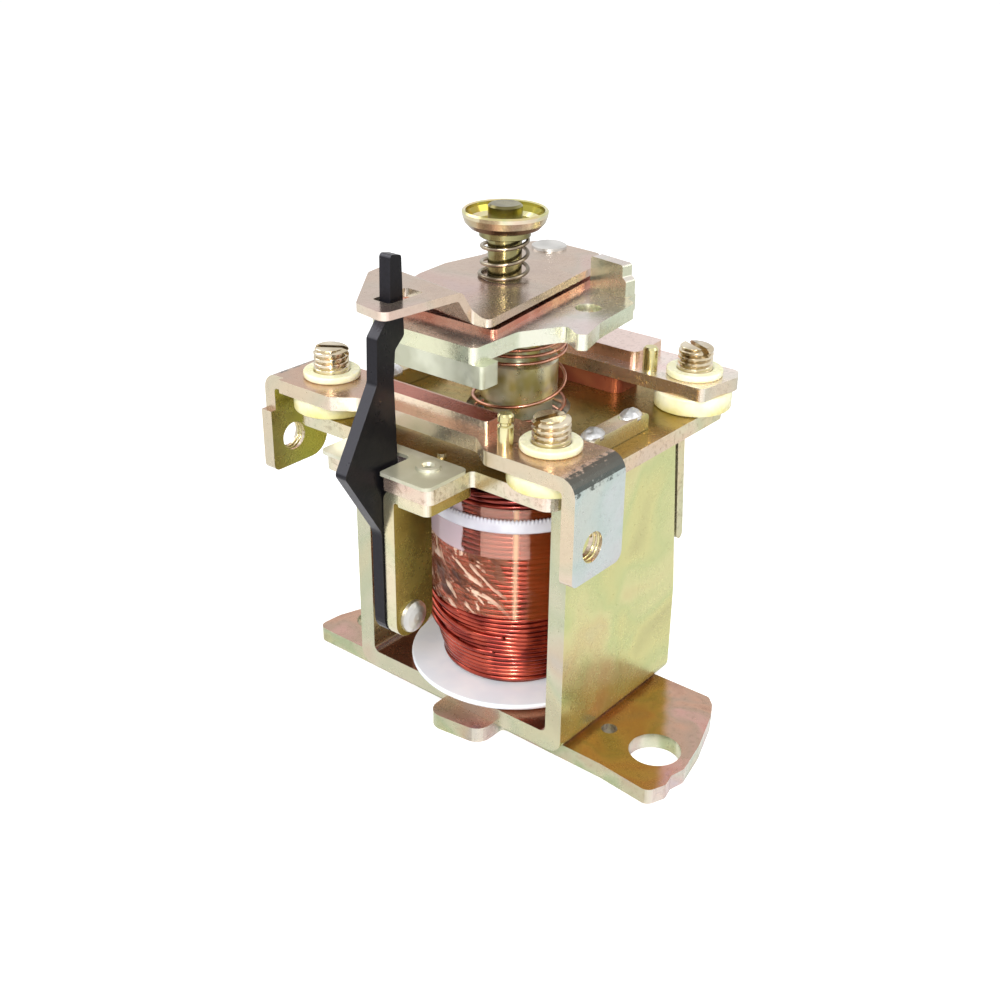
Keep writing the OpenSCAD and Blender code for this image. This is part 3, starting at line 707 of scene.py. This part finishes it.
def coil_path():
    pitch = WIRE_MM * 0.985
    turns = int((COIL_HIGH - COIL_LOW - WIRE_MM) / pitch)
    pitch = (COIL_HIGH - COIL_LOW - WIRE_MM) / turns
    path = []
    for i in range(turns * TURN_STEPS + 1):
        degrees = i * 360 / TURN_STEPS
        z = COIL_LOW + WIRE_MM / 2 + pitch * i / TURN_STEPS
        here = Vector(around((0, 0), 1.0, degrees, z * 0.16))
        free = min(1.0, (z - COIL_LOW) / 4, (COIL_HIGH - z) / 4)
        z += WANDER_MM * free * noise.noise(here * 1.3)
        radius = DRUM_MM - drawn(z) + 0.07 * noise.noise(here * 2.1 + Vector((5, 0, 0)))
        path.append(around(COIL_AXIS, radius, degrees, z))
    return path, turns


path, turns = coil_path()
points, faces = wire(path, WIRE_MM / 2, 8)
piece("winding", points, faces, enamel, "frame", ("coil_winding",))
print("winding of", turns, "turns,", len(points), "points")

# %% [markdown]
# Below the film, and just above it, a few turns have slipped over their neighbours. Each
# one is a short piece of the same wire that rises out of the winding, crosses it at a
# slant, and dives back in. The list gives where each one starts and stops, first as angles round the coil
# in degrees, then as heights.

# %% Slipped turns
SLIP_RISE_MM = 0.62


def slipped(number, start, stop, z_start, z_stop):
    steps = 60
    path = []
    for i in range(steps + 1):
        share = i / steps
        lift = min(1.0, 5 * share, 5 * (1 - share))
        z = z_start + (z_stop - z_start) * (share * share * (3 - 2 * share))
        radius = DRUM_MM + 0.02 - drawn(z) + SLIP_RISE_MM * lift ** 0.6
        path.append(around(COIL_AXIS, radius, start + (stop - start) * share, z))
    points, faces = wire(path, WIRE_MM / 2, 8)
    return piece("slipped_turn_%d" % number, points, faces, enamel, "frame")


SLIPPED = [(-205, -58, 20.4, 15.6), (-190, -84, 18.0, 15.4), (-178, -66, 15.8, 12.6),
           (-200, -92, 22.0, 18.2), (140, 60, 40.6, 37.4), (-160, -30, 37.4, 39.2)]
for number, values in enumerate(SLIPPED):
    slipped(number, *values)
print(len(SLIPPED), "slipped turns")

# %% [markdown]
# A clear film is wound over the middle of the coil. It is smooth near the tie band and
# crumpled in slanting creases lower down. The film is a closed shell with its inside
# 0.05 mm off the wire, and the creases are real: a ridged noise along a slanting
# direction moves the outer skin in and out.

# %% Clear film: shape
FILM_LOW, FILM_HIGH = 18.9, 36.8
FILM_IN_MM, FILM_OUT_MM = 12.9, 12.98


def film_radius(degrees, z):
    here = Vector(around((0, 0), 1.0, degrees, 0))
    slant = math.radians(degrees) * FILM_IN_MM * 0.62 + z * 0.8
    crumple = min(1.0, max(0.0, (29.0 - z) / 2.0))
    ridge = 1 - abs(noise.noise(Vector((slant * 0.55, here.x * 2, z * 0.16)))) * 2.6
    fine = noise.noise(Vector((slant * 1.6, here.y * 3, z * 0.5 + 7)))
    edge = min(1.0, (z - FILM_LOW) / 0.8)
    return FILM_OUT_MM + crumple * edge * (0.26 * max(0.0, ridge) ** 2 + 0.1 * abs(fine))


def film_shell():
    columns, rows = 260, 56
    points, faces = [], []
    for skin in (0, 1):
        for row in range(rows + 1):
            for column in range(columns):
                degrees = column * 360 / columns
                low = FILM_LOW + 0.5 * noise.noise(Vector(around((0, 0), 1.6, degrees, 3)))
                z = low + (FILM_HIGH - low) * row / rows
                radius = film_radius(degrees, z) if skin else FILM_IN_MM
                points.append(around(COIL_AXIS, radius, degrees, z))
    half = (rows + 1) * columns
    for row in range(rows):
        for column in range(columns):
            a, b = row * columns + column, row * columns + (column + 1) % columns
            faces.append((half + a, half + b, half + b + columns, half + a + columns))
            faces.append((a, a + columns, b + columns, b))
    for column in range(columns):
        a, b = column, (column + 1) % columns
        top = rows * columns
        faces.append((a, b, half + b, half + a))
        faces.append((top + a, half + top + a, half + top + b, top + b))
    return points, faces


points, faces = film_shell()
print("clear film,", len(points), "points")

# %% [markdown]
# A film this clear shows hardly any gloss of its own, because Alpha makes its gloss fade
# as well. So what light does on it is painted in as masks. They follow the angle round
# the coil and the height. Near the tie band the film is smooth: there it has a milky
# veil at the left and a paler sheen in front. Lower down pale and dark streaks slant the
# way the creases do. A bright line, and an amber stain to the right of it, run over the
# whole height of the film.

# %% Clear film: finish
# The angles are in radians. SHEEN and LINE each have two of them and the softness of
# their edges, and the others run from where the mask is 0 to where it is 1.
SMOOTH_MM = (28.8, 29.1)
SHEEN = (-1.3, -0.75, 0.01)
LINE = (-0.9325, -0.8775, 0.0225)
VEIL_EDGE, STAIN_EDGE, CREASE_EDGE = (-1.46, -1.49), (-0.74, -0.66), (-0.8, -1.2)


def angle_round_coil(tree, place):
    x, y, _ = add(tree, "ShaderNodeSeparateXYZ", {0: place}).outputs
    return maths(tree, "ARCTAN2", maths(tree, "SUBTRACT", y, COIL_AXIS[1] * MM),
                 maths(tree, "SUBTRACT", x, COIL_AXIS[0] * MM))


def crease_noise(tree, place, side, z):
    arc = times(tree, side, 13 * MM)
    across = plus(tree, times(tree, arc, 0.62), times(tree, z, 0.78))
    along = maths(tree, "SUBTRACT", times(tree, arc, 0.78), times(tree, z, 0.62))
    drawn_out = add(tree, "ShaderNodeCombineXYZ", {0: times(tree, across, 560.0),
                                                   1: times(tree, along, 150.0)}).outputs[0]
    return noise_at(tree, drawn_out, 1.0, 4, 0.62, 1.6)


def film_material():
    material, tree, shader = start_material("clear film", 0.0)
    place = add(tree, "ShaderNodeTexCoord").outputs["Object"]
    z = add(tree, "ShaderNodeSeparateXYZ", {0: place}).outputs[2]
    side = angle_round_coil(tree, place)
    ragged = plus(tree, side, times(tree, noise_at(tree, place, 600, 3, 0.6), 0.12))
    smooth = spread(tree, z, SMOOTH_MM[0] * MM, SMOOTH_MM[1] * MM)
    veil = spread(tree, ragged, *VEIL_EDGE)
    line = band(tree, side, *LINE)
    stained = spread(tree, ragged, *STAIN_EDGE)
    crushed = spread(tree, ragged, *CREASE_EDGE)
    streak = crease_noise(tree, place, side, z)
    light = times(tree, spread(tree, streak, 0.56, 0.62), crushed)
    dark = times(tree, spread(tree, streak, 0.47, 0.41), crushed)

    amber = blend_colour(tree, dark, paint(206, 136, 104), paint(70, 26, 6))
    colour = blend_colour(tree, light, amber, paint(250, 222, 196))
    milky = blend_colour(tree, veil, paint(228, 176, 158), paint(226, 206, 214))
    colour = blend_colour(tree, smooth, colour, milky)
    colour = blend_colour(tree, stained, colour, paint(144, 66, 26))
    colour = blend_colour(tree, line, colour, paint(255, 214, 176))

    flat = plus(tree, times(tree, band(tree, side, *SHEEN), 0.24), times(tree, veil, 0.52))
    streaks = plus(tree, times(tree, light, 0.5), times(tree, dark, 0.72))
    creased = plus(tree, times(tree, crushed, 0.08), streaks)
    alpha = add(tree, "ShaderNodeMix", {0: smooth, 2: creased, 3: flat}).outputs[0]
    alpha = plus(tree, alpha, times(tree, stained, 0.22))
    alpha = plus(tree, alpha, times(tree, line, 0.3))
    tree.links.new(colour, shader.inputs["Base Color"])
    tree.links.new(plus(tree, alpha, 0.04), shader.inputs["Alpha"])
    shader.inputs["Roughness"].default_value = 0.08
    shader.inputs["Specular IOR Level"].default_value = 0.3
    return material


piece("clear_film", points, faces, film_material(), "frame", ("coil_tape",))
print("clear film's finish ready")

# %% [markdown]
# The film is held near its upper edge by a plastic tie band. Such a band has fine teeth
# along one side, for the catch in its head. A profile of the band goes once round the
# coil, and every third column of its upper edge stands a little lower and further in.
# The last number of each point of the profile says whether it belongs to the teeth.

# %% Tie band
def toothed_band():
    profile = [(13.12, 33.35, 0), (13.6, 33.4, 0), (13.68, 33.65, 0), (13.68, 34.7, 0),
               (13.62, 34.95, 0), (13.58, 35.3, 1), (13.45, 35.45, 1), (13.12, 35.45, 1)]
    columns = 450
    points, faces = [], []
    for radius, z, toothed in profile:
        for column in range(columns):
            gap = toothed * (column % 3 == 0)
            sag = 0.1 * math.sin(math.radians(column * 360 / columns + 40))
            points.append(around(COIL_AXIS, radius - 0.3 * gap, column * 360 / columns,
                                 z - 0.4 * gap + sag))
    count = len(profile)
    for row in range(count):
        for column in range(columns):
            a, b = row * columns + column, row * columns + (column + 1) % columns
            ahead = ((row + 1) % count - row) * columns
            faces.append((a, b, b + ahead, a + ahead))
    return points, faces


points, faces = toothed_band()
piece("toothed_band", points, faces, band_plastic, "frame", ("tie_band",))
print("tie band,", len(points), "points")

# %% [markdown]
# Both springs are drawn from a short table of stations: angle, radius and height, read
# off where the strands cross the view. Straight lines between stations would show as
# kinks, so a moving average smooths the radius and the height first.

# %% Springs
WINDOW = 17


def spring_path(axis, stations):
    stations = np.array(stations, float)
    angles = np.arange(stations[0, 0], stations[-1, 0] + 1, 6)
    smooth = []
    for column in (1, 2):
        values = np.interp(angles, stations[:, 0], stations[:, column])
        padded = np.pad(values, WINDOW // 2, mode="edge")
        smooth.append(np.convolve(padded, np.ones(WINDOW) / WINDOW, mode="valid"))
    return [around(axis, radius, degrees, z) for degrees, radius, z in zip(angles, *smooth)]


RETURN_HEIGHTS = [44.85, 45.2, 45.8, 46.6, 47.3, 48.2, 48.7, 49.0, 49.4, 51.8, 54.0, 55.4, 55.9,
                  56.4, 56.6, 56.8, 57.0, 57.3, 57.5, 57.6, 57.8, 58.6, 59.4, 60.0, 60.5, 60.72]
RETURN_STATIONS = [(-52 + 90 * i, 6.6 + 0.12 * math.sin(i * 1.7), z)
                   for i, z in enumerate(RETURN_HEIGHTS)]
BUTTON_HEIGHTS = [66.0, 66.0, 66.05, 66.75, 67.3, 67.65, 67.95, 69.0, 69.6, 69.95, 70.15, 70.9, 70.98]
BUTTON_STATIONS = [(-232 + 90 * i, 3.5 if i < 3 else 3.2, z) for i, z in enumerate(BUTTON_HEIGHTS)]

points, faces = wire(spring_path(COIL_AXIS, RETURN_STATIONS), 0.25, 12)
spring = piece("return_coil", points, faces, spring_copper, "frame", ("return_spring",))
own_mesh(spring)
points, faces = wire(spring_path(STEM_AXIS, BUTTON_STATIONS), 0.28, 12)
spring = piece("button_coil", points, faces, spring_steel, "armature",
               ("button_spring",))
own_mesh(spring)
print("two springs, tops at", RETURN_HEIGHTS[-1], "and", BUTTON_STATIONS[-1][2], "mm")

# %% [markdown]
# Four threaded studs hold the strips. A thread is a single ridge that climbs one pitch
# each turn, so the radius of the surface depends on height and angle together. The
# surface is a grid over both, closed by caps, and a Boolean modifier cuts the
# screwdriver slot. The result is kept as a plain mesh.

# %% Threaded studs
STUD_AT = [(-19.4, -18.1), (19.4, -18.1), (-19.3, 16), (19.3, 16)]
SLOT_TURN = [35, 75, 115, 155]
STUD_R, STUD_LOW, THREAD_LOW, STUD_HIGH = 2.5, 45.25, 53.0, 56.3
THREAD_PITCH, THREAD_DEEP, LEVEL_MM = 0.8, 0.42, 0.055
SLOT_MM = (9, 0.95, 2.6)


def stud_radius(degrees, z):
    if z < THREAD_LOW:
        return STUD_R
    phase = ((z - THREAD_LOW) / THREAD_PITCH - degrees / 360) % 1.0
    ridge = min(1.0, 1.7 * (1 - abs(2 * phase - 1)))
    run_in = min(1.0, (z - THREAD_LOW) / 0.3)
    top = STUD_HIGH - z
    rim = 0.35 * max(0.0, 1 - top / 0.45) ** 1.5
    return STUD_R - run_in * THREAD_DEEP * (1 - ridge) - rim


def stud_mesh():
    columns = 72
    levels = [STUD_LOW, THREAD_LOW - 0.05]
    rises = int((STUD_HIGH - THREAD_LOW) / LEVEL_MM) + 1
    levels += [THREAD_LOW + LEVEL_MM * i for i in range(rises)]
    levels.append(STUD_HIGH)
    points, faces = [], []
    for z in levels:
        for column in range(columns):
            degrees = column * 360 / columns
            points.append(around((0, 0), stud_radius(degrees, z), degrees, z))
    for row in range(len(levels) - 1):
        for column in range(columns):
            a, b = row * columns + column, row * columns + (column + 1) % columns
            faces.append((a, b, b + columns, a + columns))
    last = (len(levels) - 1) * columns
    faces.append(tuple(range(columns - 1, -1, -1)))
    faces.append(tuple(range(last, last + columns)))
    return points, faces


def slot_cutter():
    mesh = bpy.data.meshes.new("slot cutter")
    shape = bmesh.new()
    bmesh.ops.create_cube(shape, size=1.0)
    bmesh.ops.scale(shape, vec=[size * MM for size in SLOT_MM], verts=shape.verts)
    bmesh.ops.translate(shape, vec=(0, 0, (STUD_HIGH + 0.1) * MM), verts=shape.verts)
    shape.to_mesh(mesh)
    shape.free()
    cutter = bpy.data.objects.new("slot cutter", mesh)
    scene.collection.objects.link(cutter)
    return cutter


def make_stud(number, at, turn, cutter):
    points, faces = stud_mesh()
    stands_for = ("terminal_studs",)
    stud = piece("stud_%d" % number, points, faces, stud_gold, "frame", stands_for)
    cutter.rotation_euler.z = math.radians(turn)
    cut = stud.modifiers.new("slot", "BOOLEAN")
    cut.object = cutter
    cut.solver = "EXACT"
    bpy.context.view_layer.update()
    graph = bpy.context.evaluated_depsgraph_get()
    finished = bpy.data.meshes.new_from_object(stud.evaluated_get(graph))
    stud.modifiers.clear()
    stud.data = finished
    stud.data.polygons.foreach_set("use_smooth", [True] * len(finished.polygons))
    finished.set_sharp_from_angle(angle=math.radians(40))
    for point in finished.vertices:
        point.co.x += at[0] * MM
        point.co.y += at[1] * MM
    return stud


cutter = slot_cutter()
for number, (at, turn) in enumerate(zip(STUD_AT, SLOT_TURN)):
    stud = make_stud(number, at, turn, cutter)
bpy.data.objects.remove(cutter)
print("four studs,", len(stud.data.vertices), "points each")

# %% [markdown]
# The hole in each lug is tapped for a screw. The thread stands in the hole as a few turns
# of a fine ridge, so the same sweep that makes the springs makes it, half sunk into the
# sheet.

# %% Tapped holes
LUG_AT = (26.8, -20.2, 41.6)
LUG_HOLE_MM, TAP_PITCH, TAP_STEPS = 2.1, 0.6, 36


def tapped_hole(side):
    path = []
    for i in range(3 * TAP_STEPS - 8):
        turn = math.radians(i * 360 / TAP_STEPS)
        x = side * (LUG_AT[0] - 0.8 + TAP_PITCH * i / TAP_STEPS)
        y = LUG_AT[1] + LUG_HOLE_MM * math.cos(turn)
        z = LUG_AT[2] + LUG_HOLE_MM * math.sin(turn)
        path.append((x, y, z))
    points, faces = wire(path, 0.17, 8)
    name = "right_lug_thread" if side > 0 else "left_lug_thread"
    return piece(name, points, faces, pin_brass, "frame")


for side in (-1, 1):
    tapped = tapped_hole(side)
print("two tapped holes,", len(tapped.data.vertices), "points each")

# %% [markdown]
# The yoke's tenons go through the top plate and are hammered down at both ends. The
# blows leave bright, swollen lumps. Each lump is a low dome whose surface is pushed in
# and out by a fine noise, in rough bright metal.

# %% Staked tenons
staked_zinc = plain("staked zinc", (186, 186, 186), (234, 234, 236), 0.85, 0.3, 0.5,
                    700, 0.9, 0.0003)


def dome(name, centre, reach, height, base_z):
    columns, rows = 28, 8
    points, faces = [(centre[0], centre[1], base_z + height)], []
    for row in range(1, rows + 1):
        share = row / rows
        for column in range(columns):
            turn = 2 * math.pi * column / columns
            x = centre[0] + reach[0] * share * math.cos(turn)
            y = centre[1] + reach[1] * share * math.sin(turn)
            lump = 1 + 0.34 * noise.noise(Vector((x * 1.5, y * 1.5, 3)))
            points.append((x, y, base_z + height * (1 - share ** 2.6) * lump))
    ring = 1 + (rows - 1) * columns
    for column in range(columns):
        x, y, z = points[ring + column]
        points.append((x, y, base_z - 0.4))
    for column in range(columns):
        after = (column + 1) % columns
        faces.append((0, 1 + column, 1 + after))
        for row in range(rows):
            a, b = 1 + row * columns + column, 1 + row * columns + after
            faces.append((a, a + columns, b + columns, b))
    last = 1 + rows * columns
    faces.append(tuple(range(last + columns - 1, last - 1, -1)))
    return piece(name, points, faces, staked_zinc, "frame")


TENON_X, TENON_ENDS, TENON_TOP = 18.2, (-7.2, 1.6), 49.9
LUMP_REACH, LUMP_HIGH = (1.5, 2.0), 0.9

lumps = 0
for side in (-1, 1):
    for y in TENON_ENDS:
        centre = (side * TENON_X, y)
        dome("staked_lump_%d" % lumps, centre, LUMP_REACH, LUMP_HIGH, TENON_TOP - 0.1)
        lumps += 1
print(lumps, "staked lumps")

# %% [markdown]
# The studio is a pale floor, a white world and four soft lamps. The camera and
# mirror-like surfaces see a white surround, while the light that falls on the object
# stays at a plain level, so colours look about as they are written. The floor is lifted
# to pure white for the camera, and only a little for the sheets that mirror it, which
# would burn out otherwise. A narrow lamp near the camera draws the thin bright lines on
# the wire and the studs.

# %% Studio
WORLD_LIGHT = 0.45
FLOOR_REACH, FLOOR_GREY = 2.0, 0.8
SEEN_LIFT, MIRRORED_LIFT = 0.6, 0.1
LAMP_AIM = Vector((0, 0, 0.035))


def make_world():
    world = bpy.data.worlds.new("studio")
    scene.world = world
    world.use_nodes = True
    tree = world.node_tree
    back = tree.nodes["Background"]
    rays = add(tree, "ShaderNodeLightPath").outputs
    seen = maths(tree, "MAXIMUM", rays["Is Camera Ray"],
                 maths(tree, "MAXIMUM", rays["Is Glossy Ray"], rays["Is Transmission Ray"]))
    level = add(tree, "ShaderNodeMapRange", {0: seen, 3: WORLD_LIGHT, 4: 1.0}).outputs[0]
    back.inputs["Color"].default_value = (1, 1, 1, 1)
    tree.links.new(level, back.inputs["Strength"])


def make_floor():
    mesh = bpy.data.meshes.new("floor")
    corners = [(x * FLOOR_REACH, y * FLOOR_REACH, 0) for x, y in ((-1, -1), (1, -1), (1, 1), (-1, 1))]
    mesh.from_pydata(corners, [], [(0, 1, 2, 3)])
    floor = bpy.data.objects.new("floor", mesh)
    scene.collection.objects.link(floor)
    floor.location.z = -0.2 * MM
    material = bpy.data.materials.new("pale floor")
    material.use_nodes = True
    tree = material.node_tree
    shader = tree.nodes["Principled BSDF"]
    shader.inputs["Base Color"].default_value = (FLOOR_GREY, FLOOR_GREY, FLOOR_GREY, 1)
    shader.inputs["Roughness"].default_value = 0.9
    shader.inputs["Emission Color"].default_value = (1, 1, 1, 1)
    rays = add(tree, "ShaderNodeLightPath").outputs
    mirrored = maths(tree, "MAXIMUM", rays["Is Glossy Ray"], rays["Is Transmission Ray"])
    seen = times(tree, rays["Is Camera Ray"], SEEN_LIFT)
    lift = plus(tree, seen, times(tree, mirrored, MIRRORED_LIFT))
    tree.links.new(lift, shader.inputs["Emission Strength"])
    mesh.materials.append(material)


def lamp(name, place, size, watts):
    light = bpy.data.lights.new(name, "AREA")
    light.shape = "RECTANGLE"
    light.size, light.size_y = size
    light.energy = watts
    item = bpy.data.objects.new(name, light)
    scene.collection.objects.link(item)
    item.location = place
    item.rotation_euler = (LAMP_AIM - Vector(place)).to_track_quat("-Z", "Y").to_euler()


make_world()
make_floor()
lamp("key", (0.19, -0.52, 0.46), (0.42, 0.36), 2.2)
lamp("narrow", (0.33, -0.46, 0.34), (0.025, 0.3), 2.6)
lamp("side", (0.55, 0.25, 0.42), (0.36, 0.36), 1.0)
lamp("left", (-0.52, -0.12, 0.46), (0.36, 0.36), 1.0)
scene.view_settings.view_transform = "Standard"
print("studio ready")

# %% [markdown]
# The last cell prints a closing line.

# %% Finish
print("scene built")
